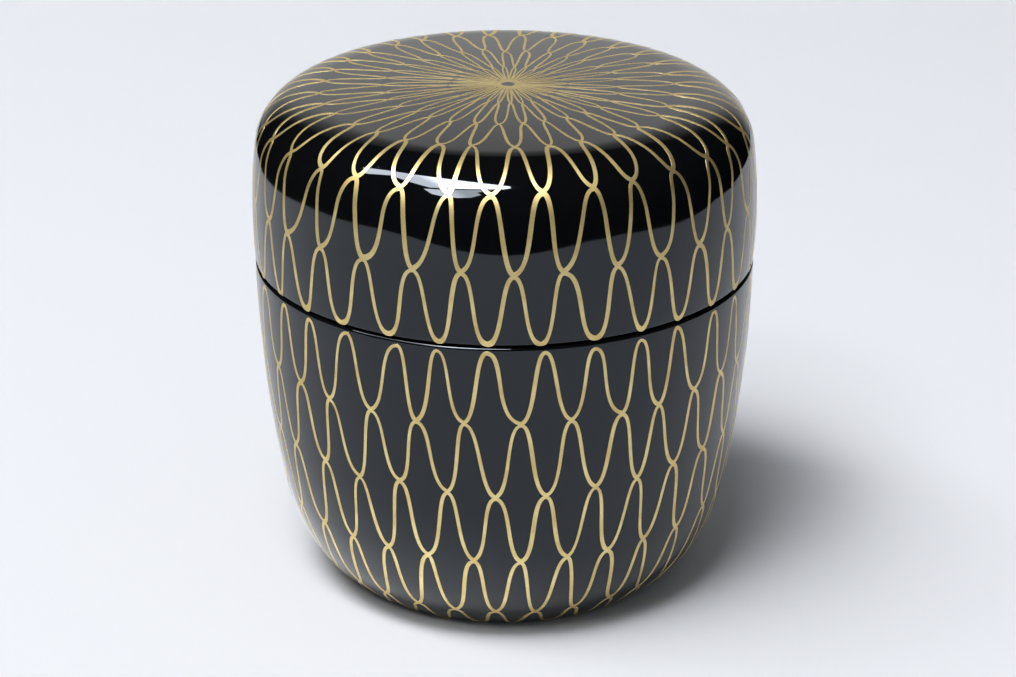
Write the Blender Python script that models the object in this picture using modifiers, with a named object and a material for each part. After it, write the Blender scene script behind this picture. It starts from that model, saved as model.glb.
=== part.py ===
"""A lacquered natsume tea caddy: a turned body with a standing collar, and a cap lid.

Both pieces are turned on +Z. The body stands on Z = 0 and the lid lifts off along +Z.
A heading is the way an outline travels in the XZ plane: 0 is outward, 90 is straight
down and 180 is inward, so the outside of a piece is a chain of arcs of rising heading.
"""

import math

import bpy

# Overall size, in metres.
DIAMETER = 0.0660
HEIGHT = 0.0668
SEAM_HEIGHT = 0.0440
CLEARANCE = 0.0003

# Lid, from the centre of the crown outward and down: where each arc ends, and its radius.
CROWN_END = math.radians(2.8)
BREAK_END, BREAK_RADIUS = math.radians(17.4), 0.0132
SHOULDER_END, SHOULDER_RADIUS = math.radians(82.4), 0.00725
LID_WALL_RADIUS = 0.0724

# Body, from the seam down.
BODY_WALL_START = math.radians(90.4)
BODY_WALL_END, BODY_WALL_RADIUS = math.radians(100.2), 0.1740
BELLY_END, BELLY_RADIUS = math.radians(111.2), 0.0325
HEEL_RADIUS = 0.0173

# Edges and foot.
SEAM_EDGE = 0.00035
FOOT_EDGE = 0.0008
FOOT_RING_WIDTH = 0.0024
FOOT_RECESS = 0.0006

# Inside.
COLLAR_HEIGHT = 0.0060
COLLAR_THICKNESS = 0.0016
COLLAR_EDGE = 0.0005
SKIRT_THICKNESS = 0.0021
SKIRT_DEPTH = 0.0100
LID_CORNER_RADIUS = 0.0090
CROWN_THICKNESS = 0.0030
WELL_FLOOR = 0.0046
WELL_CORNER_RADIUS = 0.0154

# Faceting: sides around the axis, and how far a chord may lie inside its arc.
SIDES = 72
CHORD_ERROR = 0.00004

BLACK_LACQUER = (0.006, 0.006, 0.008, 1.0)


def arc(start, heading, end_heading, radius):
    """Points of an arc that leaves start at heading, without start itself."""
    centre_x = start[0] - radius * math.sin(heading)
    centre_z = start[1] - radius * math.cos(heading)
    step = 2 * math.acos(1 - min(CHORD_ERROR / radius, 0.1))
    count = max(2, math.ceil(abs(end_heading - heading) / step))
    points = []
    for index in range(1, count + 1):
        turn = heading + (end_heading - heading) * index / count
        x = centre_x + radius * math.sin(turn)
        z = centre_z + radius * math.cos(turn)
        points.append((x, z))
    return points


def heading_at_edge(start, heading, radius, plane, edge):
    """Heading where an arc hands over to an edge rounding that ends on a level plane."""
    centre_z = start[1] - radius * math.cos(heading)
    return math.acos((plane + edge - centre_z) / (radius - edge))


def lid_outside():
    """Outline of the lid from the centre of its crown to the rounded edge of its rim."""
    shoulder_rise = math.sin(SHOULDER_END) - math.sin(BREAK_END)
    break_rise = math.sin(BREAK_END) - math.sin(CROWN_END)
    crown_reach = DIAMETER / 2 - LID_WALL_RADIUS * (1 - math.sin(SHOULDER_END))
    crown_reach -= SHOULDER_RADIUS * shoulder_rise + BREAK_RADIUS * break_rise
    crown_radius = crown_reach / math.sin(CROWN_END)

    points = [(0.0, HEIGHT)]
    points += arc(points[-1], 0.0, CROWN_END, crown_radius)
    points += arc(points[-1], CROWN_END, BREAK_END, BREAK_RADIUS)
    points += arc(points[-1], BREAK_END, SHOULDER_END, SHOULDER_RADIUS)
    rim = SEAM_HEIGHT + CLEARANCE / 2
    wall_end = heading_at_edge(points[-1], SHOULDER_END, LID_WALL_RADIUS, rim, SEAM_EDGE)
    points += arc(points[-1], SHOULDER_END, wall_end, LID_WALL_RADIUS)
    points += arc(points[-1], wall_end, math.pi, SEAM_EDGE)
    return points


def seam_radius():
    """Outer radius at the seam, where lid and body walls meet flush."""
    rim_edge = lid_outside()[-1]
    return rim_edge[0] + SEAM_EDGE


def skirt_radius():
    """Inner radius of the lid's skirt."""
    return seam_radius() - SKIRT_THICKNESS


def lid_profile():
    """Closed outline of the lid: crown, outside, rim, skirt and the hollow's ceiling."""
    points = lid_outside()
    rim = points[-1][1]
    inner = skirt_radius()
    points.append((inner, rim))
    points.append((inner, rim + SKIRT_DEPTH))
    quarter = math.pi / 2
    corner_x = inner - LID_CORNER_RADIUS
    corner_z = rim + SKIRT_DEPTH
    rounding = arc((corner_x, corner_z + LID_CORNER_RADIUS), 0.0, quarter, LID_CORNER_RADIUS)
    points += rounding[-2::-1]
    points.append((corner_x, corner_z + LID_CORNER_RADIUS))
    points.append((0.0, HEIGHT - CROWN_THICKNESS))
    return points


def body_profile():
    """Closed outline of the body: well, collar, step, outside, foot ring and underside."""
    quarter = math.pi / 2
    step = SEAM_HEIGHT - CLEARANCE / 2
    collar_outer = skirt_radius() - CLEARANCE
    well = collar_outer - COLLAR_THICKNESS
    collar_top = SEAM_HEIGHT + COLLAR_HEIGHT

    corner_x = well - WELL_CORNER_RADIUS
    corner_z = WELL_FLOOR + WELL_CORNER_RADIUS
    floor_turn = arc((well, corner_z), quarter, math.pi, WELL_CORNER_RADIUS)
    points = [(0.0, WELL_FLOOR)]
    points += floor_turn[::-1]
    points.append((well, corner_z))

    points.append((well, collar_top - COLLAR_EDGE))
    points += arc(points[-1], -quarter, 0.0, COLLAR_EDGE)
    points.append((collar_outer - COLLAR_EDGE, collar_top))
    points += arc(points[-1], 0.0, quarter, COLLAR_EDGE)

    points.append((collar_outer, step))
    points.append((seam_radius() - SEAM_EDGE, step))
    points += arc(points[-1], 0.0, BODY_WALL_START, SEAM_EDGE)
    points += arc(points[-1], BODY_WALL_START, BODY_WALL_END, BODY_WALL_RADIUS)
    points += arc(points[-1], BODY_WALL_END, BELLY_END, BELLY_RADIUS)
    heel_end = heading_at_edge(points[-1], BELLY_END, HEEL_RADIUS, 0.0, FOOT_EDGE)
    points += arc(points[-1], BELLY_END, heel_end, HEEL_RADIUS)
    points += arc(points[-1], heel_end, math.pi, FOOT_EDGE)

    foot_inner = points[-1][0] - FOOT_RING_WIDTH
    points.append((foot_inner, 0.0))
    points.append((foot_inner - FOOT_RECESS, FOOT_RECESS))
    points.append((0.0, FOOT_RECESS))
    return points


def lacquer(name):
    """Polished black lacquer."""
    material = bpy.data.materials.new(name)
    material.use_nodes = True
    shader = material.node_tree.nodes["Principled BSDF"]
    shader.inputs["Base Color"].default_value = BLACK_LACQUER
    shader.inputs["Roughness"].default_value = 0.08
    shader.inputs["Metallic"].default_value = 0.0
    material.diffuse_color = BLACK_LACQUER
    return material


def turned(name, profile, base_height, collection):
    """A turned piece: its outline, measured from base_height, swept around +Z."""
    vertices = [(x, 0.0, z - base_height) for x, z in profile]
    edges = [(index, index + 1) for index in range(len(vertices) - 1)]
    mesh = bpy.data.meshes.new(name)
    mesh.from_pydata(vertices, edges, [])
    mesh.materials.append(lacquer(name + "_lacquer"))
    piece = bpy.data.objects.new(name, mesh)
    piece.location = (0.0, 0.0, base_height)
    collection.objects.link(piece)

    screw = piece.modifiers.new("Turning", "SCREW")
    screw.axis = "Z"
    screw.angle = 2 * math.pi
    screw.steps = SIDES
    screw.render_steps = SIDES
    screw.use_merge_vertices = True
    screw.merge_threshold = 0.00001
    screw.use_smooth_shade = True
    return piece


def main():
    for existing in list(bpy.data.objects):
        bpy.data.objects.remove(existing, do_unlink=True)
    collection = bpy.data.collections.new("tea_caddy")
    bpy.context.scene.collection.children.link(collection)

    body = turned("body", body_profile(), 0.0, collection)
    lid = turned("lid", lid_profile(), SEAM_HEIGHT, collection)
    lid.parent = body


main()
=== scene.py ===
"""Looks of a natsume tea caddy: turned wood under black lacquer, with a fishing net drawn in gold.

The caddy stands on Z = 0 and is turned on +Z. The front faces -Y. Angles round the axis are
measured from the front towards +X, and distances over the outside of the lid or the body are
measured from the seam, so that a row of the net is one distance and one angle.
"""

from __future__ import annotations

import logging
import math
from dataclasses import dataclass
from enum import Enum

import bpy
import numpy as np
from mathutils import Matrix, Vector


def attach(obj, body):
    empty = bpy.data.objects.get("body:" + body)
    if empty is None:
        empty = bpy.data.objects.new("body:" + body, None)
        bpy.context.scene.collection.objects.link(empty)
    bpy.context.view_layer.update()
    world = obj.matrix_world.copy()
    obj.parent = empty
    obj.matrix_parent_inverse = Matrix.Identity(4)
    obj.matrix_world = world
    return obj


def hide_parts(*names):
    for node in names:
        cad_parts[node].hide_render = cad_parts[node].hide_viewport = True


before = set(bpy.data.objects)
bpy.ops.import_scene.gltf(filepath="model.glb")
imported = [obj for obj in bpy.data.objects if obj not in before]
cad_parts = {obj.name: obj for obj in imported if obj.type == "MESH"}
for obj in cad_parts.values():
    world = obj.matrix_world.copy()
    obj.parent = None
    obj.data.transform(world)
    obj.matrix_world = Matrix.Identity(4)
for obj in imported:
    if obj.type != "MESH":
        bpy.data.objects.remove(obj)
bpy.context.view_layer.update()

MM = 0.001
FULL_TURN = 2 * math.pi
LOG = logging.getLogger("tea_caddy")

Rgba = tuple[float, float, float, float]
Corners = tuple[tuple[float, float], ...]
Piece = bpy.types.Object
Material = bpy.types.Material
Tree = bpy.types.NodeTree
Socket = bpy.types.NodeSocket


class CadBody(Enum):
    """The CAD bodies that pieces ride on."""

    BODY = "body"
    LID = "lid"


class Slot(Enum):
    """The record's material slots."""

    BODY_LACQUER = "body_lacquer"
    LID_LACQUER = "lid_lacquer"
    GOLD_POWDER = "gold_powder"


# ------------ small helpers


def linear(hex_colour: str) -> Rgba:
    """Turns an sRGB hex colour to linear light.

    Args:
        hex_colour: A colour such as "#E6CD86".

    Returns:
        Red, green, blue and an alpha of 1.
    """
    channels = []
    for start in (1, 3, 5):
        value = int(hex_colour[start:start + 2], 16) / 255
        if value <= 0.04045:
            channels.append(value / 12.92)
        else:
            channels.append(((value + 0.055) / 1.055) ** 2.4)
    return (channels[0], channels[1], channels[2], 1.0)


def add_node(tree: Tree, kind: str, settings: dict, links: dict) -> bpy.types.Node:
    """Adds a shader node with its settings and its links.

    Args:
        tree: The node tree that takes the node.
        kind: The node's type name, after "ShaderNode".
        settings: Values by property name, or by input name or number.
        links: Output sockets that feed this node, by input name or number.

    Returns:
        The new node.
    """
    node = tree.nodes.new("ShaderNode" + kind)
    for name, value in settings.items():
        if isinstance(name, str) and hasattr(node, name):
            setattr(node, name, value)
        else:
            node.inputs[name].default_value = value
    for name, source in links.items():
        tree.links.new(source, node.inputs[name])
    return node


@dataclass(frozen=True)
class Fade:
    """A change from least to most, as a place or a pattern goes from start to end."""

    start: float
    end: float
    most: float = 1.0
    least: float = 0.0
    smooth: bool = False

    def settings(self) -> dict:
        """Gives the settings of the node that makes the change.

        Returns:
            The settings by name.
        """
        return {"interpolation_type": "SMOOTHSTEP" if self.smooth else "LINEAR",
                "From Min": self.start, "From Max": self.end,
                "To Min": self.least, "To Max": self.most}


def new_material(name: str) -> tuple[Material, Tree, Socket]:
    """Makes an empty node material.

    Args:
        name: The material's name.

    Returns:
        The material, its node tree and the place on the object, in metres.
    """
    material = bpy.data.materials.new(name)
    material.use_nodes = True
    tree = material.node_tree
    tree.nodes.clear()
    return material, tree, add_node(tree, "TexCoord", {}, {}).outputs["Object"]


def deselect_all() -> None:
    """Leaves object mode with nothing selected."""
    if bpy.context.mode != "OBJECT":
        bpy.ops.object.mode_set(mode="OBJECT")
    bpy.ops.object.select_all(action="DESELECT")


def name_new_piece(name: str) -> Piece:
    """Names the object that an operator has just added.

    Args:
        name: The piece's name.

    Returns:
        The object, with its mesh named the same.
    """
    piece = bpy.context.object
    piece.name = name
    piece.data.name = name
    return piece


def smoothstep(value: np.ndarray) -> np.ndarray:
    """Eases a value from 0 to 1.

    Args:
        value: Any numbers.

    Returns:
        0 below 0, 1 above 1 and a smooth step between.
    """
    share = np.clip(value, 0.0, 1.0)
    return share * share * (3.0 - 2.0 * share)


def rounded_ring(values: np.ndarray, passes: int, wrap: float = 0.0) -> np.ndarray:
    """Softens a closed row of numbers by averaging neighbours.

    Args:
        values: The row, whose last number is followed by its first.
        passes: How many times each number is averaged with its neighbours.
        wrap: How much the row grows in one round, such as a full turn for angles.

    Returns:
        The softened row.
    """
    for _ in range(passes):
        before = np.roll(values, 1)
        before[0] -= wrap
        after = np.roll(values, -1)
        after[-1] += wrap
        values = (before + 2.0 * values + after) / 4.0
    return values


# ------------ turned outlines


class Outline:
    """An outline in the XZ plane, grown from arcs and straight lines.

    A heading is the way that the outline travels: 0 is outward, 90 is straight down and 180
    is inward, all in degrees. An arc is divided by angle and by the length of its chords, or
    by length alone where its radius is small.
    """

    ARC_STEP = 1.5
    LONGEST_CHORD = 0.8 * MM
    EDGE_CHORDS = 8
    SMALL_RADIUS = 1.0 * MM
    SHARP_EDGE = math.radians(32)
    SAME_POINT = 0.001 * MM

    def __init__(self, x: float, z: float) -> None:
        """Starts the outline at a point, heading outward."""
        self.points: list[tuple[float, float]] = [(x, z)]
        self.heading = 0.0

    def arc(self, end_heading: float, radius: float, least_chords: int = 2) -> Outline:
        """Goes on along an arc until it has turned to a heading.

        Args:
            end_heading: The heading at the arc's end, in degrees.
            radius: The arc's radius in metres. It is negative in an inside corner, which
                gets no more than the fewest chords.
            least_chords: The fewest chords that stand for the arc.

        Returns:
            This outline.
        """
        start_x, start_z = self.points[-1]
        start = math.radians(self.heading)
        centre_x = start_x - radius * math.sin(start)
        centre_z = start_z - radius * math.cos(start)
        turn = math.radians(end_heading) - start
        by_angle = abs(math.degrees(turn)) / self.ARC_STEP
        by_length = abs(turn) * radius / self.LONGEST_CHORD
        if radius < self.SMALL_RADIUS:
            by_angle = 0.0
        count = max(least_chords, math.ceil(by_angle), math.ceil(by_length))
        for index in range(1, count + 1):
            angle = start + turn * index / count
            x = centre_x + radius * math.sin(angle)
            z = centre_z + radius * math.cos(angle)
            self.points.append((x, z))
        self.heading = end_heading
        return self

    def edge(self, end_heading: float, radius: float) -> Outline:
        """Goes on round a small rounded edge."""
        return self.arc(end_heading, radius, self.EDGE_CHORDS)

    def line(self, x: float, z: float) -> Outline:
        """Goes straight to a point."""
        self.points.append((x, z))
        return self

    def heading_at_edge(self, radius: float, plane: float, edge: float) -> float:
        """Finds where an arc hands over to an edge rounding that ends on a level plane.

        Args:
            radius: The arc's radius, from the outline's last point on.
            plane: The height of the level plane.
            edge: The edge rounding's radius.

        Returns:
            The heading where the arc ends, in degrees.
        """
        centre_z = self.points[-1][1] - radius * math.cos(math.radians(self.heading))
        return math.degrees(math.acos((plane + edge - centre_z) / (radius - edge)))

    def spin(self, name: str, sides: int) -> Piece:
        """Turns the outline on +Z into one closed piece.

        Args:
            name: The piece's name.
            sides: How many steps make a full turn.

        Returns:
            The turned piece, smooth but for its edges.
        """
        deselect_all()
        bpy.ops.mesh.primitive_plane_add(size=MM)
        piece = name_new_piece(name)
        bpy.ops.object.mode_set(mode="EDIT")
        bpy.ops.mesh.select_all(action="SELECT")
        bpy.ops.mesh.merge(type="CENTER")
        first_x, first_z = self.points[0]
        bpy.ops.transform.translate(value=(first_x, 0.0, first_z))
        for here, there in zip(self.points, self.points[1:]):
            step = (there[0] - here[0], 0.0, there[1] - here[1])
            bpy.ops.mesh.extrude_region_move(TRANSFORM_OT_translate={"value": step})
        bpy.ops.mesh.select_all(action="SELECT")
        bpy.ops.mesh.spin(steps=sides, angle=FULL_TURN, center=(0, 0, 0), axis=(0, 0, 1))
        bpy.ops.mesh.select_all(action="SELECT")
        bpy.ops.mesh.remove_doubles(threshold=self.SAME_POINT)
        bpy.ops.mesh.normals_make_consistent(inside=False)
        bpy.ops.object.mode_set(mode="OBJECT")
        bpy.ops.object.shade_smooth_by_angle(angle=self.SHARP_EDGE)
        return piece


class TurnedFace:
    """The outside of a turned piece, as places by angle and by distance from the seam.

    A drawing may lie off the axis: the drift is full at the middle and gone where the radius
    reaches DRIFT_ENDS. The points that it moves, inside CROWN_EDGE, take their height from
    the crown, which is the outline's top CROWN_DEPTH. PROBE is how far to each side the
    slope is measured.
    """

    DRIFT_ENDS = 18 * MM
    CROWN_EDGE = 24 * MM
    CROWN_DEPTH = 3 * MM
    PROBE = 0.15 * MM

    def __init__(self, points_from_seam: list[tuple[float, float]]) -> None:
        """Measures the outline.

        Args:
            points_from_seam: The outline's points from the seam on, in the XZ plane.
        """
        line = np.array(points_from_seam)
        steps = np.hypot(*np.diff(line, axis=0).T)
        self.radius = line[:, 0]
        self.height = line[:, 1]
        self.distance = np.concatenate([[0.0], np.cumsum(steps)])
        self.length = float(self.distance[-1])

    def radius_at(self, distance: np.ndarray) -> np.ndarray:
        """Gives the radius at a distance from the seam."""
        return np.interp(distance, self.distance, self.radius)

    def height_at(self, distance: np.ndarray) -> np.ndarray:
        """Gives the height at a distance from the seam."""
        return np.interp(distance, self.distance, self.height)

    def place(self, angle: np.ndarray, distance: np.ndarray, drift: float) -> np.ndarray:
        """Finds points on the face.

        Args:
            angle: Angles from the front towards +X, in radians.
            distance: Distances from the seam over the face, in metres.
            drift: How far the drawing's centre lies to +X of the axis, fading out by
                the shoulder.

        Returns:
            An array of points with shape (count, 3).
        """
        radius = self.radius_at(distance)
        x = radius * np.sin(angle)
        y = -radius * np.cos(angle)
        if drift:
            x = x + drift * smoothstep(1.0 - radius / self.DRIFT_ENDS)
            order = np.argsort(self.radius)
            crown = order[self.height[order] > self.height.max() - self.CROWN_DEPTH]
            height = np.where(
                radius < self.CROWN_EDGE,
                np.interp(np.hypot(x, y), self.radius[crown], self.height[crown]),
                self.height_at(distance),
            )
        else:
            height = self.height_at(distance)
        return np.stack([x, y, height], axis=1)

    def normal(self, angle: np.ndarray, distance: np.ndarray) -> np.ndarray:
        """Finds the face's outward directions.

        Args:
            angle: Angles from the front towards +X, in radians.
            distance: Distances from the seam over the face, in metres.

        Returns:
            An array of unit vectors with shape (count, 3).
        """
        low = np.clip(distance - self.PROBE, 0.0, self.length)
        high = np.clip(distance + self.PROBE, 0.0, self.length)
        run = self.radius_at(high) - self.radius_at(low)
        rise = self.height_at(high) - self.height_at(low)
        slope = np.hypot(run, rise)
        climbs = np.sign(self.height[-1] - self.height[0])
        outward = climbs * rise / slope
        upward = -climbs * run / slope
        return np.stack([outward * np.sin(angle), -outward * np.cos(angle), upward], axis=1)


# ------------ the gold net


def back_with_lacquer(piece: Piece, depth: float) -> None:
    """Gives an open gold face a closed back that lies in the lacquer.

    Args:
        piece: The open piece, whose faces point outward.
        depth: How deep the back goes, in metres.
    """
    wall = piece.modifiers.new("Backing", "SOLIDIFY")
    wall.thickness = depth
    wall.offset = -1.0
    bpy.ops.object.modifier_apply(modifier=wall.name)


@dataclass(frozen=True)
class KnotRow:
    """A ring of knots, where the line above and the line below touch.

    The rows were drawn by hand, so a row may run a little farther from the seam on one side
    (lean) and its knots may crowd towards the front or the back (swing). Each knot is out of
    place by a little along the face (waver) and round it (stray). Distances are in
    millimetres and angles in degrees.
    """

    distance: float
    phase: float
    lean: float = 0.0
    swing: float = 0.0
    waver: float = 0.20
    stray: float = 0.60


class Foot(Enum):
    """How the strands of a wave line meet at their lower ends: across and down, from 0 to 1."""

    SHARP = (0.30, 0.92)
    BLUNT = (0.34, 1.00)


@dataclass(frozen=True)
class Stroke:
    """How the brush drew one wave line.

    The width is in millimetres. The rest are shares of it: how far a line's middle keeps
    from a knot (touch), and how wide the line gets at its feet and its crests.
    """

    width: float = 0.46
    touch: float = 0.26
    foot_width: float = 1.15
    crest_width: float = 1.0
    foot: Foot = Foot.SHARP


class Knots:
    """The knots of one row, each with the place that the hand gave it."""

    COUNT = 32
    PITCH = 360.0 / COUNT

    def __init__(self, row: KnotRow, rng: np.random.Generator) -> None:
        """Places the knots of a row.

        Args:
            row: The row.
            rng: The hand's unevenness.
        """
        even = row.phase + self.PITCH * np.arange(self.COUNT)
        turn = np.radians(even)
        distance = row.distance + row.lean * np.sin(turn)
        self.angle = even + row.swing * np.cos(turn) + rng.normal(0.0, row.stray, self.COUNT)
        self.distance = (distance + rng.normal(0.0, row.waver, self.COUNT)) * MM
        self.phase = row.phase

    def after(self, other: Knots) -> tuple[np.ndarray, np.ndarray]:
        """Lines this row's knots up so that each follows the same knot of another row.

        Args:
            other: The row whose knots come first.

        Returns:
            Angles in degrees, each just past the other row's, and distances.
        """
        shift = math.floor((self.phase - other.phase) / self.PITCH)
        order = np.arange(self.COUNT) - shift
        wrapped = order // self.COUNT
        index = order % self.COUNT
        return self.angle[index] + 360.0 * wrapped, self.distance[index]


class WaveLine:
    """One closed line of the net: arches that open towards the seam or away from it.

    COLUMNS and HEIGHTS are the ribbon's section: shares of half its width, and millimetres
    above the lacquer. The rest is the hand: how far a strand bulges, how its waist and its
    droop vary, how the brush presses and trembles (as shares of the width), and the share of
    a strand over which its width changes at a knot.
    """

    SAMPLES = 24
    ROUNDING, EDGE_ROUNDING = 1, 2
    COLUMNS = (-1.0, -0.93, 0.0, 0.93, 1.0)
    HEIGHTS = (-0.010, 0.013, 0.015, 0.013, -0.010)
    BACKING = 0.06 * MM
    SAME_POINT = 0.0001 * MM
    SHARP_EDGE = math.radians(25)
    BULGE, BULGE_SPREAD = 0.56, 0.08
    WAIST_SPREAD, DROOP_SPREAD = 0.08, 0.02
    PRESS, PRESS_PASSES = 0.09, 60
    TREMBLE, TREMBLE_PASSES = 0.02, 3
    END_SHARE = 0.10
    INNER_ROOM = 0.85

    def __init__(self, name: str, face: TurnedFace, stroke: Stroke, drift: float) -> None:
        """Prepares a line.

        Args:
            name: The piece's name.
            face: The face that the line is drawn on.
            stroke: How the brush draws it.
            drift: How far the drawing's centre lies to +X of the axis.
        """
        self.name = name
        self.face = face
        self.stroke = stroke
        self.drift = drift

    def draw(self, crests: Knots, feet: Knots, rng: np.random.Generator) -> Piece:
        """Draws the line as a raised ribbon of lacquer and gold powder.

        Args:
            crests: The knots at the tops of the arches.
            feet: The knots at their sharp lower ends.
            rng: The hand's unevenness.

        Returns:
            The finished ribbon.
        """
        angle, distance, low = self.route(crests, feet, rng)
        width = self.widths(low, rng)
        rows = self.ribbon(angle, distance, width)
        return self.model(rows)

    def route(
        self, crests: Knots, feet: Knots, rng: np.random.Generator
    ) -> tuple[np.ndarray, np.ndarray, np.ndarray]:
        """Finds the line's middle.

        Args:
            crests: The knots at the tops of the arches.
            feet: The knots at their sharp lower ends.
            rng: The hand's unevenness.

        Returns:
            Angles in radians, distances in metres, and how near each point is to a foot.
        """
        foot_angle, foot_distance = feet.after(crests)
        next_angle = np.roll(crests.angle, -1)
        next_angle[-1] += 360.0
        next_distance = np.roll(crests.distance, -1)
        direction = np.sign(crests.distance.mean() - feet.distance.mean())
        touch = direction * self.stroke.touch * self.stroke.width * MM

        # The samples crowd towards both knots, where the line bends most.
        share = np.arange(self.SAMPLES) / self.SAMPLES
        eased = 0.5 * (share + 0.5 * (1.0 - np.cos(math.pi * share)))
        angles, distances, low = [], [], []
        for knot in range(Knots.COUNT):
            ends = (
                (crests.angle[knot], crests.distance[knot], 1.0),
                (next_angle[knot], next_distance[knot], -1.0),
            )
            for top_angle, top_distance, way in ends:
                across, down = self.strand(eased if way > 0 else 1.0 - eased, rng)
                top = top_distance - touch
                bottom = foot_distance[knot] + touch
                angles.append(top_angle + (foot_angle[knot] - top_angle) * across)
                distances.append(top + (bottom - top) * down)
                low.append(down)
        angle = rounded_ring(np.radians(np.concatenate(angles)), self.ROUNDING, FULL_TURN)
        distance = rounded_ring(np.concatenate(distances), self.ROUNDING)
        return angle, distance, np.concatenate(low)

    def strand(self, share: np.ndarray, rng: np.random.Generator) -> tuple[np.ndarray, np.ndarray]:
        """Shapes one strand: blunt and round at its crest, slanting in at its foot.

        Args:
            share: How far along the strand each sample is, from 0 at the crest.
            rng: The hand's unevenness.

        Returns:
            How far across and how far down each sample lies, each from 0 to 1.
        """
        foot_across, foot_down = self.stroke.foot.value
        bulge = rng.normal(self.BULGE, self.BULGE_SPREAD)
        waist = rng.normal(foot_across, self.WAIST_SPREAD)
        droop = min(rng.normal(foot_down, self.DROOP_SPREAD), 1.0)
        rest = 1.0 - share
        across = 3 * rest**2 * share * bulge + 3 * rest * share**2 * waist + share**3
        down = 3 * rest * share**2 * droop + share**3
        return across, down

    def widths(self, low: np.ndarray, rng: np.random.Generator) -> np.ndarray:
        """Gives the stroke's width along the line.

        Args:
            low: How near each sample is to a foot, from 0 to 1.
            rng: The hand's unevenness.

        Returns:
            Half the width at each sample, in metres.
        """
        stroke = self.stroke
        press = rounded_ring(rng.normal(0.0, 1.0, len(low)), self.PRESS_PASSES)
        press = 1.0 + self.PRESS * press / press.std()
        tremble = rounded_ring(rng.normal(0.0, 1.0, len(low)), self.TREMBLE_PASSES)
        tremble = self.TREMBLE * tremble / tremble.std()
        end = self.END_SHARE
        foot = (stroke.foot_width - 1.0) * smoothstep((low - 1.0 + end) / end)
        crest = (stroke.crest_width - 1.0) * smoothstep((end - low) / end)
        return 0.5 * stroke.width * MM * (press + tremble) * (1.0 + foot + crest)

    def ribbon(self, angle: np.ndarray, distance: np.ndarray, half_width: np.ndarray) -> np.ndarray:
        """Spreads the line's middle into the columns of a ribbon.

        Args:
            angle: The middle's angles, in radians.
            distance: The middle's distances from the seam.
            half_width: Half the stroke's width at each sample.

        Returns:
            Points with shape (columns, samples + 1, 3), the last sample as the first.
        """
        middle = self.face.place(angle, distance, self.drift)
        outward = self.face.normal(angle, distance)
        along = np.roll(middle, -1, axis=0) - np.roll(middle, 1, axis=0)
        step = np.linalg.norm(along, axis=1, keepdims=True)
        along = along / step
        side = np.cross(outward, along)
        bend = (np.roll(along, -1, axis=0) - np.roll(along, 1, axis=0)) / step
        curl = rounded_ring((bend * side).sum(axis=1), self.ROUNDING)

        columns = []
        for across, height in zip(self.COLUMNS, self.HEIGHTS):
            # Where the line curls, its inner half keeps within the curl's radius.
            reach = across * half_width
            room = self.INNER_ROOM / np.maximum(np.abs(curl), 1.0)
            inner = np.sign(across) * np.minimum(np.abs(reach), room)
            reach = np.where(reach * curl > 0, inner, reach)
            reach = rounded_ring(reach, self.EDGE_ROUNDING)
            rise = outward * height * MM
            columns.append(middle + side * reach[:, None] + rise)
        rows = np.stack(columns)
        return np.concatenate([rows, rows[:, :1]], axis=1)

    def model(self, rows: np.ndarray) -> Piece:
        """Models the ribbon from a grid, closes it and gives it a back.

        Args:
            rows: The ribbon's points, one row for each column.

        Returns:
            The closed ribbon.
        """
        deselect_all()
        columns, samples = rows.shape[:2]
        bpy.ops.mesh.primitive_grid_add(
            x_subdivisions=samples - 1, y_subdivisions=columns - 1, size=MM
        )
        piece = name_new_piece(self.name)
        if len(piece.data.vertices) != columns * samples:
            raise ValueError(f"{self.name}: the grid has {len(piece.data.vertices)} points")
        piece.data.vertices.foreach_set("co", rows.astype(np.float32).ravel())
        piece.data.update()
        bpy.ops.object.mode_set(mode="EDIT")
        bpy.ops.mesh.select_all(action="SELECT")
        bpy.ops.mesh.remove_doubles(threshold=self.SAME_POINT)
        bpy.ops.object.mode_set(mode="OBJECT")
        self.face_outward(piece)
        back_with_lacquer(piece, self.BACKING)
        bpy.ops.object.shade_smooth_by_angle(angle=self.SHARP_EDGE)
        return piece

    def face_outward(self, piece: Piece) -> None:
        """Flips the open ribbon if its faces point into the caddy.

        Args:
            piece: The open ribbon.
        """
        centre = Vector((0.0, 0.0, 0.5 * float(self.face.height.mean())))
        outward = sum(p.normal.dot(p.center - centre) for p in piece.data.polygons)
        if outward > 0:
            return
        bpy.ops.object.mode_set(mode="EDIT")
        bpy.ops.mesh.select_all(action="SELECT")
        bpy.ops.mesh.flip_normals()
        bpy.ops.object.mode_set(mode="OBJECT")


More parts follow.
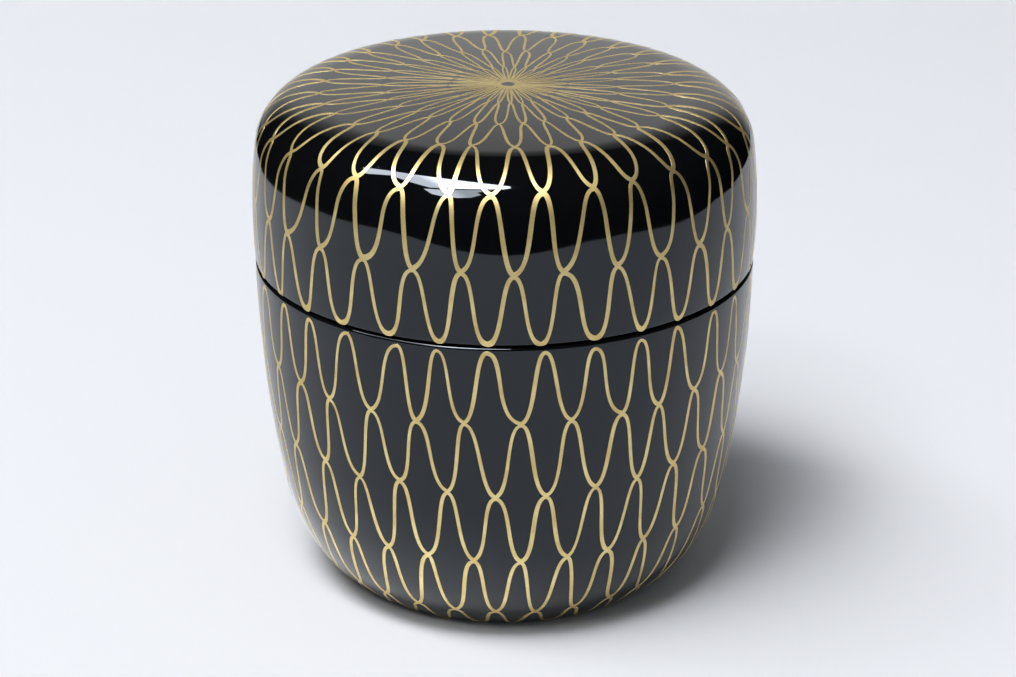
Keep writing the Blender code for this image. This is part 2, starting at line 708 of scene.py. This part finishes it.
class GoldBoss:
    """The solid gold ring at the middle of the crown, where the innermost arches run together.

    It lies on the crown, whose arc has CROWN_RADIUS. Its edge sinks by SINK below the lacquer
    and its flat top rises by RELIEF from there. A higher FLATNESS makes the top broader.
    """

    SIDES = 96
    RINGS = 6
    BACKING = 0.06 * MM
    SHARP_EDGE = math.radians(50)
    HOLE = 0.80 * MM
    RIM = 2.05 * MM
    RAGGEDNESS, RAGGED_PASSES = 0.05, 2
    RELIEF, SINK = 0.025 * MM, 0.008 * MM
    FLATNESS = 8
    CROWN_RADIUS = 490 * MM

    def __init__(self, name: str, face: TurnedFace, drift: float) -> None:
        """Prepares the ring.

        Args:
            name: The piece's name.
            face: The face that the ring lies on.
            drift: How far its centre lies to +X of the axis.
        """
        self.name = name
        self.face = face
        self.drift = drift

    def draw(self, rng: np.random.Generator) -> Piece:
        """Models the ring, with a bare spot inside.

        Args:
            rng: The hand's unevenness.

        Returns:
            The finished ring.
        """
        deselect_all()
        bpy.ops.mesh.primitive_circle_add(vertices=self.SIDES, radius=self.HOLE)
        piece = name_new_piece(self.name)
        bpy.ops.object.mode_set(mode="EDIT")
        bpy.ops.mesh.select_all(action="SELECT")
        growth = (self.RIM / self.HOLE) ** (1 / self.RINGS)
        for _ in range(self.RINGS):
            bpy.ops.mesh.extrude_region_move()
            bpy.ops.transform.resize(value=(growth, growth, 1.0))
        bpy.ops.object.mode_set(mode="OBJECT")
        self.lay(piece, rng)
        bpy.ops.object.mode_set(mode="EDIT")
        bpy.ops.mesh.select_all(action="SELECT")
        bpy.ops.mesh.normals_make_consistent(inside=False)
        bpy.ops.object.mode_set(mode="OBJECT")
        if piece.data.polygons[0].normal.z < 0:
            piece.data.flip_normals()
        back_with_lacquer(piece, self.BACKING)
        bpy.ops.object.shade_smooth_by_angle(angle=self.SHARP_EDGE)
        return piece

    def lay(self, piece: Piece, rng: np.random.Generator) -> None:
        """Lays the ring on the crown with an uneven, rounded rim.

        Args:
            piece: The flat ring.
            rng: The hand's unevenness.
        """
        ragged = rounded_ring(rng.normal(0.0, 1.0, self.SIDES), self.RAGGED_PASSES)
        ragged = self.RAGGEDNESS * ragged / ragged.std()
        crown = float(self.face.height.max())
        for vertex in piece.data.vertices:
            x, y, _ = vertex.co
            radius = math.hypot(x, y)
            share = (radius - self.HOLE) / (self.RIM - self.HOLE)
            index = round(math.atan2(y, x) / FULL_TURN * self.SIDES) % self.SIDES
            grown = radius * (1.0 + ragged[index])
            flank = (2.0 * share - 1.0) ** self.FLATNESS
            top = self.RELIEF * math.sqrt(max(0.0, 1.0 - flank)) - self.SINK
            fall = grown**2 / (2 * self.CROWN_RADIUS)
            vertex.co.x = x / radius * grown + self.drift
            vertex.co.y = y / radius * grown
            vertex.co.z = crown - fall + top
        piece.data.update()


# ------------ finishes


@dataclass(frozen=True)
class RoiroLacquer:
    """Black urushi lacquer, ground flat with charcoal and polished by hand to a mirror.

    The eye gets a deep black that shows only what it reflects. The reflections waver a
    little, because the hand leaves the face a few microns out of true. Sizes and heights are
    in millimetres. The polish is a roughness, and dust_slope is a share of dust_size.
    """

    name: str
    black: str = "#05070A"
    brown_black: str = "#080707"
    refractive_index: float = 1.50
    reflection_tint: str = "#E8F1FC"
    polish: Fade = Fade(0.35, 0.70, most=0.060, least=0.030)
    waver_size: float = 9.0
    waver_height: float = 0.0035
    haze_size: float = 22.0
    dust_size: float = 0.9
    dust_share: float = 0.035
    dust_slope: Fade = Fade(0.09, 0.04)
    dust_height: float = 0.010

    def material(self) -> Material:
        """Builds the lacquer's shader.

        Returns:
            The material.
        """
        material, tree, place = new_material(self.name)
        depth = add_node(tree, "TexNoise",
                         {"Scale": 1 / (self.haze_size * MM), "Detail": 2.0}, {"Vector": place})
        colour = add_node(tree, "Mix",
                          {"data_type": "RGBA", 6: linear(self.black), 7: linear(self.brown_black)},
                          {0: depth.outputs["Fac"]})
        polish = add_node(tree, "MapRange", self.polish.settings(),
                          {"Value": depth.outputs["Fac"]})
        waver = add_node(tree, "TexNoise",
                         {"Scale": 1 / (self.waver_size * MM), "Detail": 1.0, "Roughness": 0.4},
                         {"Vector": place})
        flat = add_node(tree, "Bump",
                        {"Strength": 1.0, "Distance": self.waver_height * MM},
                        {"Height": waver.outputs["Fac"]})
        dust = add_node(tree, "TexVoronoi",
                        {"Scale": 1 / (self.dust_size * MM)}, {"Vector": place})
        chosen = add_node(tree, "SeparateColor", {}, {"Color": dust.outputs["Color"]})
        rare = add_node(tree, "Math",
                        {"operation": "LESS_THAN", 1: self.dust_share},
                        {0: chosen.outputs["Red"]})
        speck = add_node(tree, "MapRange", self.dust_slope.settings(),
                         {"Value": dust.outputs["Distance"]})
        bump = add_node(tree, "Math", {"operation": "MULTIPLY"},
                        {0: rare.outputs[0], 1: speck.outputs[0]})
        face = add_node(tree, "Bump",
                        {"Strength": 1.0, "Distance": self.dust_height * MM},
                        {"Height": bump.outputs[0], "Normal": flat.outputs[0]})
        shader = add_node(tree, "BsdfPrincipled",
                          {"IOR": self.refractive_index, "Metallic": 0.0,
                           "Specular Tint": linear(self.reflection_tint)},
                          {"Base Color": colour.outputs[2], "Roughness": polish.outputs[0],
                           "Normal": face.outputs[0]})
        add_node(tree, "OutputMaterial", {}, {"Surface": shader.outputs[0]})
        return material


@dataclass(frozen=True)
class GoldPowder:
    """Fine gold powder sprinkled on a line drawn in wet lacquer, then fixed and burnished.

    The eye gets a satin gold that glints in fine grains. The real powder is about 0.02 mm
    across; the grain is drawn at 0.14 mm, because the real one is too fine to show. A thin
    coat of clear lacquer covers it. Sizes and heights are in millimetres.
    """

    name: str
    bright: str = "#E9D798"
    deep: str = "#D4BB79"
    grazing: str = "#C4AE78"
    satin: Fade = Fade(0.3, 0.7, most=0.47, least=0.57)
    cover: float = 0.7
    cover_roughness: float = 0.24
    grain_size: float = 0.14
    grain_height: float = 0.010
    grain_share: float = 0.55
    patch_size: float = 3.0
    brightening: Fade = Fade(0.55, 1.0)

    def material(self) -> Material:
        """Builds the gold's shader.

        Returns:
            The material.
        """
        material, tree, place = new_material(self.name)
        grain = add_node(tree, "TexNoise",
                         {"Scale": 1 / (self.grain_size * MM), "Detail": 2.0, "Roughness": 0.6},
                         {"Vector": place})
        patch = add_node(tree, "TexNoise",
                         {"Scale": 1 / (self.patch_size * MM), "Detail": 2.0}, {"Vector": place})
        mixed = add_node(tree, "Math", {"operation": "MULTIPLY_ADD", 1: self.grain_share},
                         {0: grain.outputs["Fac"], 2: patch.outputs["Fac"]})
        share = add_node(tree, "MapRange", self.brightening.settings(),
                         {"Value": mixed.outputs[0]})
        colour = add_node(tree, "Mix",
                          {"data_type": "RGBA", 6: linear(self.deep), 7: linear(self.bright)},
                          {0: share.outputs[0]})
        satin = add_node(tree, "MapRange", self.satin.settings(),
                         {"Value": patch.outputs["Fac"]})
        relief = add_node(tree, "Bump",
                          {"Strength": 1.0, "Distance": self.grain_height * MM},
                          {"Height": grain.outputs["Fac"]})
        shader = add_node(tree, "BsdfPrincipled",
                          {"Metallic": 1.0, "Specular Tint": linear(self.grazing),
                           "Coat Weight": self.cover, "Coat Roughness": self.cover_roughness},
                          {"Base Color": colour.outputs[2], "Roughness": satin.outputs[0],
                           "Normal": relief.outputs[0]})
        add_node(tree, "OutputMaterial", {}, {"Surface": shader.outputs[0]})
        return material


# ------------ sub-assemblies


@dataclass
class TurnedHalf:
    """What the lid and the body share: how they are finished, fixed and reported."""

    sides: int = 256

    def attach(self, piece: Piece, body: CadBody, slot: Slot, finish: Material) -> None:
        """Gives a piece its finish and fixes it to its CAD body.

        Args:
            piece: The finished piece.
            body: The CAD body that it rides on.
            slot: The record's material slot; not used.
            finish: The piece's material.
        """
        piece.data.materials.clear()
        piece.data.materials.append(finish)
        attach(piece, body.value)
        LOG.info("%s: %d faces, rides on %s", piece.name, len(piece.data.polygons), body.value)


@dataclass
class Lid(TurnedHalf):
    """The cap lid: sizes in metres, headings in degrees."""

    diameter: float = 66.0 * MM
    height: float = 66.8 * MM
    rim: float = 44.15 * MM
    crown_end: float = 2.8
    break_end: float = 17.4
    break_radius: float = 13.2 * MM
    shoulder_end: float = 82.4
    shoulder_radius: float = 7.25 * MM
    wall_radius: float = 72.4 * MM
    seam_edge: float = 0.35 * MM
    skirt_thickness: float = 2.1 * MM
    skirt_depth: float = 10.0 * MM
    skirt_edge: float = 0.30 * MM
    corner_radius: float = 9.0 * MM
    crown_thickness: float = 3.0 * MM
    net_drift: float = 0.48 * MM
    hand_seed: int = 11

    def outside(self) -> Outline:
        """Draws the outline from the crown's centre to the rim's edge.

        Returns:
            The outline.
        """
        def rise(first: float, last: float) -> float:
            """Says how far outward an arc of radius 1 goes between two headings."""
            return math.sin(math.radians(last)) - math.sin(math.radians(first))

        crown_reach = self.diameter / 2 - self.wall_radius * rise(self.shoulder_end, 90)
        crown_reach -= self.shoulder_radius * rise(self.break_end, self.shoulder_end)
        crown_reach -= self.break_radius * rise(self.crown_end, self.break_end)
        crown_radius = crown_reach / math.sin(math.radians(self.crown_end))
        outline = Outline(0.0, self.height)
        outline.arc(self.crown_end, crown_radius)
        outline.arc(self.break_end, self.break_radius)
        outline.arc(self.shoulder_end, self.shoulder_radius)
        wall_end = outline.heading_at_edge(self.wall_radius, self.rim, self.seam_edge)
        outline.arc(wall_end, self.wall_radius)
        return outline.edge(180.0, self.seam_edge)

    def seam_radius(self) -> float:
        """Gives the outer radius at the seam, where lid and body meet flush."""
        return self.outside().points[-1][0] + self.seam_edge

    def skirt_radius(self) -> float:
        """Gives the inner radius of the lid's skirt."""
        return self.seam_radius() - self.skirt_thickness

    def build_shell(self) -> Piece:
        """Turns the lid: outside, rim, skirt and the hollow's ceiling.

        Returns:
            The turned lid.
        """
        outline = self.outside()
        inner = self.skirt_radius()
        ceiling = self.height - self.crown_thickness
        corner_x = inner - self.corner_radius
        corner_z = self.rim + self.skirt_depth
        outline.line(inner + self.skirt_edge, self.rim)
        outline.edge(270.0, self.skirt_edge)
        outline.line(inner, corner_z)
        outline.heading = 270.0
        outline.arc(360.0, -self.corner_radius)
        outline.line(corner_x / 2, (corner_z + self.corner_radius + ceiling) / 2)
        outline.line(0.0, ceiling)
        return outline.spin("lid_shell", self.sides)

    def build(self, lacquer: Material, gold: Material) -> None:
        """Models the lid and its net.

        Args:
            lacquer: The lid's lacquer.
            gold: The net's gold.
        """
        shell = self.build_shell()
        self.attach(shell, CadBody.LID, Slot.LID_LACQUER, lacquer)
        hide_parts("lid")

        rng = np.random.default_rng(self.hand_seed)
        face = TurnedFace(self.outside().points[::-1])
        rows = (
            KnotRow(0.34, 7.8, waver=0.07),
            KnotRow(9.60, 1.75),
            KnotRow(19.60, 8.85, waver=0.25),
            KnotRow(28.42, 3.85, lean=0.89, swing=-1.5),
            KnotRow(36.18, 9.90, lean=0.57, swing=-1.6),
            KnotRow(44.00, 2.9, waver=0.25, stray=0.9),
            KnotRow(49.60, 8.5, waver=0.15, stray=0.7),
        )
        strokes = (
            Stroke(width=0.50, foot_width=1.5, foot=Foot.BLUNT),
            Stroke(width=0.53),
            Stroke(width=0.52),
            Stroke(width=0.37),
            Stroke(width=0.31),
            Stroke(width=0.26, crest_width=1.2),
        )
        knots = [Knots(row, rng) for row in rows]
        for number, stroke in enumerate(strokes, start=1):
            line = WaveLine(f"lid_net_line_{number}", face, stroke, self.net_drift)
            piece = line.draw(knots[number], knots[number - 1], rng)
            self.attach(piece, CadBody.LID, Slot.GOLD_POWDER, gold)
        boss = GoldBoss("lid_net_centre", face, self.net_drift)
        piece = boss.draw(rng)
        self.attach(piece, CadBody.LID, Slot.GOLD_POWDER, gold)


@dataclass
class Body(TurnedHalf):
    """The body with its standing collar: sizes in metres, headings in degrees."""

    step: float = 43.85 * MM
    wall_start: float = 90.4
    wall_end: float = 100.2
    wall_radius: float = 174.0 * MM
    belly_end: float = 111.2
    belly_radius: float = 32.5 * MM
    heel_radius: float = 17.3 * MM
    seam_edge: float = 0.35 * MM
    foot_edge: float = 0.8 * MM
    foot_ring_width: float = 2.4 * MM
    foot_recess: float = 0.6 * MM
    collar_top: float = 50.0 * MM
    collar_gap: float = 0.3 * MM
    collar_thickness: float = 1.6 * MM
    collar_edge: float = 0.5 * MM
    well_floor: float = 4.6 * MM
    well_corner_radius: float = 15.4 * MM
    hand_seed: int = 23

    def outside(self, outline: Outline) -> Outline:
        """Goes on from the step's outer edge down to the inside of the foot ring's edge.

        Args:
            outline: An outline that has reached the step's rounded edge.

        Returns:
            The same outline.
        """
        outline.heading = 0.0
        outline.edge(self.wall_start, self.seam_edge)
        outline.arc(self.wall_end, self.wall_radius)
        outline.arc(self.belly_end, self.belly_radius)
        heel_end = outline.heading_at_edge(self.heel_radius, 0.0, self.foot_edge)
        outline.arc(heel_end, self.heel_radius)
        return outline.edge(180.0, self.foot_edge)

    def build_shell(self, lid: Lid) -> Piece:
        """Turns the body: well, collar, step, outside, foot ring and underside.

        Args:
            lid: The lid that the collar fits.

        Returns:
            The turned body.
        """
        collar_outer = lid.skirt_radius() - self.collar_gap
        well = collar_outer - self.collar_thickness
        outline = Outline(0.0, self.well_floor)
        outline.line((well - self.well_corner_radius) / 2, self.well_floor)
        outline.line(well - self.well_corner_radius, self.well_floor)
        outline.arc(-90.0, -self.well_corner_radius)
        outline.line(well, self.collar_top - self.collar_edge)
        outline.edge(0.0, self.collar_edge)
        outline.line(collar_outer - self.collar_edge, self.collar_top)
        outline.edge(90.0, self.collar_edge)
        outline.line(collar_outer, self.step)
        outline.line(lid.seam_radius() - self.seam_edge, self.step)
        self.outside(outline)
        foot_inner = outline.points[-1][0] - self.foot_ring_width
        outline.line(foot_inner, 0.0)
        outline.line(foot_inner - self.foot_recess, self.foot_recess)
        outline.line(foot_inner / 2, self.foot_recess)
        outline.line(0.0, self.foot_recess)
        return outline.spin("body_shell", self.sides)

    def build(self, lid: Lid, lacquer: Material, gold: Material) -> None:
        """Models the body and its net.

        Args:
            lid: The lid that the collar fits.
            lacquer: The body's lacquer.
            gold: The net's gold.
        """
        shell = self.build_shell(lid)
        self.attach(shell, CadBody.BODY, Slot.BODY_LACQUER, lacquer)
        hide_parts("body")

        rng = np.random.default_rng(self.hand_seed)
        start = Outline(lid.seam_radius() - self.seam_edge, self.step)
        face = TurnedFace(self.outside(start).points)
        rows = (
            KnotRow(0.78, 8.40, waver=0.08),
            KnotRow(10.75, 2.95),
            KnotRow(20.80, 9.10, waver=0.25),
            KnotRow(30.94, 3.40, waver=0.25),
            KnotRow(41.30, 8.70, waver=0.15),
            KnotRow(46.10, 3.00, waver=0.08),
        )
        strokes = (
            Stroke(width=0.47),
            Stroke(width=0.49),
            Stroke(width=0.51),
            Stroke(width=0.50, foot_width=1.25),
            Stroke(width=0.48, foot=Foot.BLUNT),
        )
        knots = [Knots(row, rng) for row in rows]
        for number, stroke in enumerate(strokes, start=1):
            line = WaveLine(f"body_net_line_{number}", face, stroke, 0.0)
            piece = line.draw(knots[number - 1], knots[number], rng)
            self.attach(piece, CadBody.BODY, Slot.GOLD_POWDER, gold)


# ------------ studio


@dataclass(frozen=True)
class SoftboxLeaf:
    """One leaf of the softbox: its corners, as slopes from the vertical, and its strengths."""

    name: str
    corners: Corners
    left_power: float
    right_power: float


@dataclass
class Studio:
    """A pale table top, a soft light high on the left, a pale sweep behind and a dim room.

    The lacquer mirrors what stands round it, so the near table, the sweep and the softbox
    are stage pieces that only reflections and light see. Lengths are in metres.
    """

    table_colour: str = "#B5B6B8"
    sweep_colour: str = "#FAF8F5"
    silk_colour: str = "#FAFBFF"
    room_colour: str = "#F6FAFF"
    distance_colour: str = "#E6E8EE"
    room_light: float = 0.32
    paper_roughness: float = 0.9
    table_size: float = 6.0
    # Painted light: the table glows more with distance from the caddy, so that it stays pale where
    # the softboxes don't reach.
    table_glow: Fade = Fade(0.40, 2.2, most=1.25)
    sheet_height: float = 0.0001
    sheet_rounding: float = 0.06
    # Painted light: the reflected table glows in a ring round the foot, most at the left, where the
    # softbox would reach under the belly.
    sheet_outer_painted_light: Fade = Fade(0.055, 0.034, most=0.90, smooth=True)
    sheet_inner_painted_light: Fade = Fade(0.024, 0.031, smooth=True)
    sheet_left_painted_light: Fade = Fade(0.022, -0.014, smooth=True)
    sweep_left: float = -0.28
    sweep_width: float = 0.60
    sweep_front: float = 0.35
    sweep_slant: float = 0.06
    sweep_height: float = 0.42
    # Painted light on the sweep: its glow is bright low down and fades upwards and towards both
    # edges.
    sweep_low_light: Fade = Fade(0.34, 0.20, most=0.27, smooth=True)
    sweep_high_light: Fade = Fade(0.42, 0.20, most=0.55, least=0.10)
    sweep_left_edge: Fade = Fade(-0.27, -0.08, smooth=True)
    sweep_right_edge: Fade = Fade(0.30, 0.12, smooth=True)
    softbox_height: float = 2.1
    silk_left: float = -0.44
    silk_right: float = -0.28
    camera_place: tuple[float, float, float] = (0.0, -0.3452, 0.1805)
    camera_looks_down: float = 23.41
    camera_turn: float = -0.075
    camera_lens: float = 99.5

    SHEET = (
        (-0.18, -0.29), (0.15, -0.29), (0.23, -0.25), (0.27, -0.17), (0.27, 0.00),
        (0.25, 0.10), (0.18, 0.13), (0.18, 0.35), (-0.13, 0.35), (-0.11, 0.17),
        (-0.20, 0.13), (-0.30, 0.00), (-0.30, -0.17), (-0.26, -0.25),
    )
    LEAVES = (
        SoftboxLeaf("softbox_main_leaf", (
            (-0.74, 0.19), (-0.53, 0.11), (-0.31, -0.05), (0.03, -0.34), (0.035, -0.41),
            (-0.005, -0.455), (-0.34, -0.455), (-0.50, -0.435), (-0.57, -0.25),
            (-0.62, -0.04), (-0.88, 0.00),
        ), 15.5, 38.0),
        SoftboxLeaf("softbox_side_leaf", (
            (-0.085, -0.500), (-0.18, -0.490), (-0.45, -0.510), (-0.58, -0.495),
            (-0.62, -0.74), (-0.54, -0.88), (-0.43, -0.92), (-0.29, -0.88),
            (-0.18, -0.73), (-0.19, -0.60), (-0.085, -0.530),
        ), 16.5, 9.5),
    )

    def build(self) -> None:
        """Sets up the table, what the lacquer reflects, the lights, the room and the camera."""
        bpy.context.scene.view_settings.view_transform = "Standard"
        self.build_table()
        self.build_near_table()
        self.build_sweep()
        # A thin dark bar stays open between the two leaves.
        for leaf in self.LEAVES:
            self.build_softbox(leaf)
        self.build_room()
        self.build_camera()

    def level_sheet(self, name: str, corners: Corners, scale: float, height: float) -> Piece:
        """Adds a level sheet.

        Args:
            name: The sheet's name.
            corners: Its corners, in order.
            scale: What turns the corners to metres.
            height: How high the sheet lies.

        Returns:
            The sheet.
        """
        deselect_all()
        bpy.ops.mesh.primitive_circle_add(vertices=len(corners), radius=1.0, fill_type="NGON")
        sheet = name_new_piece(name)
        for vertex, (x, y) in zip(sheet.data.vertices, corners):
            vertex.co = (x * scale, y * scale, height)
        return sheet

    def hide_from_camera(self, piece: Piece) -> None:
        """Leaves a stage piece to reflections and light: the camera and shadows miss it.

        Args:
            piece: The stage piece.
        """
        piece.visible_camera = False
        piece.visible_shadow = False

    def fade_product(self, tree: Tree, fades: list[tuple[Socket, Fade]]) -> Socket:
        """Multiplies fades with each other.

        Args:
            tree: The node tree that takes the nodes.
            fades: Each fade, after the place that it reads.

        Returns:
            Their product.
        """
        strengths = [
            add_node(tree, "MapRange", fade.settings(), {"Value": place}).outputs[0]
            for place, fade in fades
        ]
        product = strengths[0]
        for strength in strengths[1:]:
            product = add_node(tree, "Math", {"operation": "MULTIPLY"},
                               {0: product, 1: strength}).outputs[0]
        return product

    def paper(self, name: str, by_reach: tuple[Fade, ...], by_side: tuple[Fade, ...]) -> Material:
        """Makes the table's matt paper, which glows a little with painted light: far out as if lit
        from farther off, near the foot as a painted pool of light.

        Args:
            name: The material's name.
            by_reach: How the glow goes with the distance from the caddy's foot.
            by_side: How it goes from left to right.

        Returns:
            The material.
        """
        material, tree, place = new_material(name)
        reach = add_node(tree, "VectorMath", {"operation": "LENGTH"}, {0: place})
        axes = add_node(tree, "SeparateXYZ", {}, {0: place})
        fades = [(reach.outputs["Value"], fade) for fade in by_reach]
        fades += [(axes.outputs["X"], fade) for fade in by_side]
        paper = linear(self.table_colour)
        shader = add_node(tree, "BsdfPrincipled",
                          {"Base Color": paper, "Roughness": self.paper_roughness,
                           "Specular IOR Level": 0.0, "Emission Color": paper},
                          {"Emission Strength": self.fade_product(tree, fades)})
        add_node(tree, "OutputMaterial", {}, {"Surface": shader.outputs[0]})
        return material

    def sweep_paper(self) -> Material:
        """Makes the sweep's paper, whose light is painted as a glow: bright low down, fading
        upwards and to both sides.

        Returns:
            The material.
        """
        material, tree, place = new_material("painted_light_sweep_paper")
        axes = add_node(tree, "SeparateXYZ", {}, {0: place})
        low = self.fade_product(tree, [(axes.outputs["Z"], self.sweep_low_light)])
        high = self.fade_product(tree, [(axes.outputs["Z"], self.sweep_high_light)])
        across = self.fade_product(tree, [
            (axes.outputs["X"], self.sweep_left_edge), (axes.outputs["X"], self.sweep_right_edge),
        ])
        power = add_node(tree, "Math", {"operation": "ADD"}, {0: low, 1: high})
        faded = add_node(tree, "Math", {"operation": "MULTIPLY"},
                         {0: power.outputs[0], 1: across})
        light = add_node(tree, "Emission", {"Color": linear(self.sweep_colour)},
                         {"Strength": faded.outputs[0]})
        add_node(tree, "OutputMaterial", {}, {"Surface": light.outputs[0]})
        return material

    def build_table(self) -> None:
        """Adds the pale table top, whose painted glow keeps it pale far out, where the softboxes
        don't reach.
        """
        deselect_all()
        bpy.ops.mesh.primitive_plane_add(size=self.table_size, location=(0, 0, 0))
        table = name_new_piece("table_top")
        table.data.materials.append(self.paper("pale_table_paper", (self.table_glow,), ()))
        table.visible_glossy = False

    def build_near_table(self) -> None:
        """Adds the table as the lacquer reflects it, with a painted pool of light in a ring round
        the left of the foot.
        """
        sheet = self.level_sheet("reflected_table", self.SHEET, 1.0, self.sheet_height)
        bpy.ops.object.mode_set(mode="EDIT")
        bpy.ops.mesh.select_all(action="SELECT")
        bpy.ops.mesh.bevel(
            offset=self.sheet_rounding, offset_type="OFFSET", segments=8, affect="VERTICES"
        )
        bpy.ops.object.mode_set(mode="OBJECT")
        # Painted light: the reflected table glows in a ring round the left of the foot.
        sheet.data.materials.append(self.paper(
            "reflected_table_paper_painted_light", (self.sheet_outer_painted_light, self.sheet_inner_painted_light),
            (self.sheet_left_painted_light,)
        ))
        sheet.visible_diffuse = False
        self.hide_from_camera(sheet)

    def build_sweep(self) -> None:
        """Adds the pale sweep that rises behind the caddy."""
        deselect_all()
        bpy.ops.mesh.primitive_grid_add(x_subdivisions=24, y_subdivisions=16, size=1.0)
        sweep = name_new_piece("reflected_sweep")
        for vertex in sweep.data.vertices:
            across = vertex.co.x + 0.5
            up = vertex.co.y + 0.5
            vertex.co.x = self.sweep_left + self.sweep_width * across
            vertex.co.y = self.sweep_front + self.sweep_slant * up
            vertex.co.z = self.sheet_height + self.sweep_height * up
        sweep.data.materials.append(self.sweep_paper())
        sweep.visible_diffuse = False
        self.hide_from_camera(sweep)

    def build_softbox(self, leaf: SoftboxLeaf) -> None:
        """Adds a level softbox leaf, whose strength changes from its left to its right.

        Args:
            leaf: The leaf.
        """
        height = self.softbox_height
        sheet = self.level_sheet(leaf.name, leaf.corners, height, height)
        material, tree, place = new_material(leaf.name + "_silk")
        axes = add_node(tree, "SeparateXYZ", {}, {0: place})
        change = Fade(self.silk_left * height, self.silk_right * height,
                      most=leaf.right_power, least=leaf.left_power, smooth=True)
        power = self.fade_product(tree, [(axes.outputs["X"], change)])
        light = add_node(tree, "Emission", {"Color": linear(self.silk_colour)},
                         {"Strength": power})
        add_node(tree, "OutputMaterial", {}, {"Surface": light.outputs[0]})
        sheet.data.materials.append(material)
        self.hide_from_camera(sheet)

    def build_room(self) -> None:
        """Makes the room: dim as a light, and pale where the camera sees past the table."""
        world = bpy.data.worlds.new("dim_room")
        world.use_nodes = True
        tree = world.node_tree
        tree.nodes.clear()
        seen = add_node(tree, "LightPath", {}, {}).outputs["Is Camera Ray"]
        dim = add_node(tree, "Background",
                       {"Color": linear(self.room_colour), "Strength": self.room_light}, {})
        pale = add_node(tree, "Background",
                        {"Color": linear(self.distance_colour), "Strength": 1.0}, {})
        mixed = add_node(tree, "MixShader", {},
                         {0: seen, 1: dim.outputs[0], 2: pale.outputs[0]})
        add_node(tree, "OutputWorld", {}, {"Surface": mixed.outputs[0]})
        world.cycles_visibility.glossy = False
        bpy.context.scene.world = world

    def build_camera(self) -> None:
        """Adds the camera: a long lens in front, looking down on the lid."""
        pitch = math.radians(90.0 - self.camera_looks_down)
        yaw = math.radians(self.camera_turn)
        bpy.ops.object.camera_add(location=self.camera_place, rotation=(pitch, 0.0, yaw))
        camera = bpy.context.object
        camera.name = "front_camera"
        camera.data.sensor_width = 36.0
        camera.data.lens = self.camera_lens
        camera.data.clip_start = 10 * MM
        bpy.context.scene.camera = camera


def main() -> None:
    """Builds the caddy and its studio."""
    logging.basicConfig(level=logging.INFO, format="%(name)s: %(message)s")
    gold = GoldPowder("gold_powder_on_lacquer").material()
    lid = Lid()
    lid.build(RoiroLacquer("lid_roiro_lacquer").material(), gold)
    Body().build(lid, RoiroLacquer("body_roiro_lacquer").material(), gold)
    Studio().build()


if __name__ == "__main__":
    main()
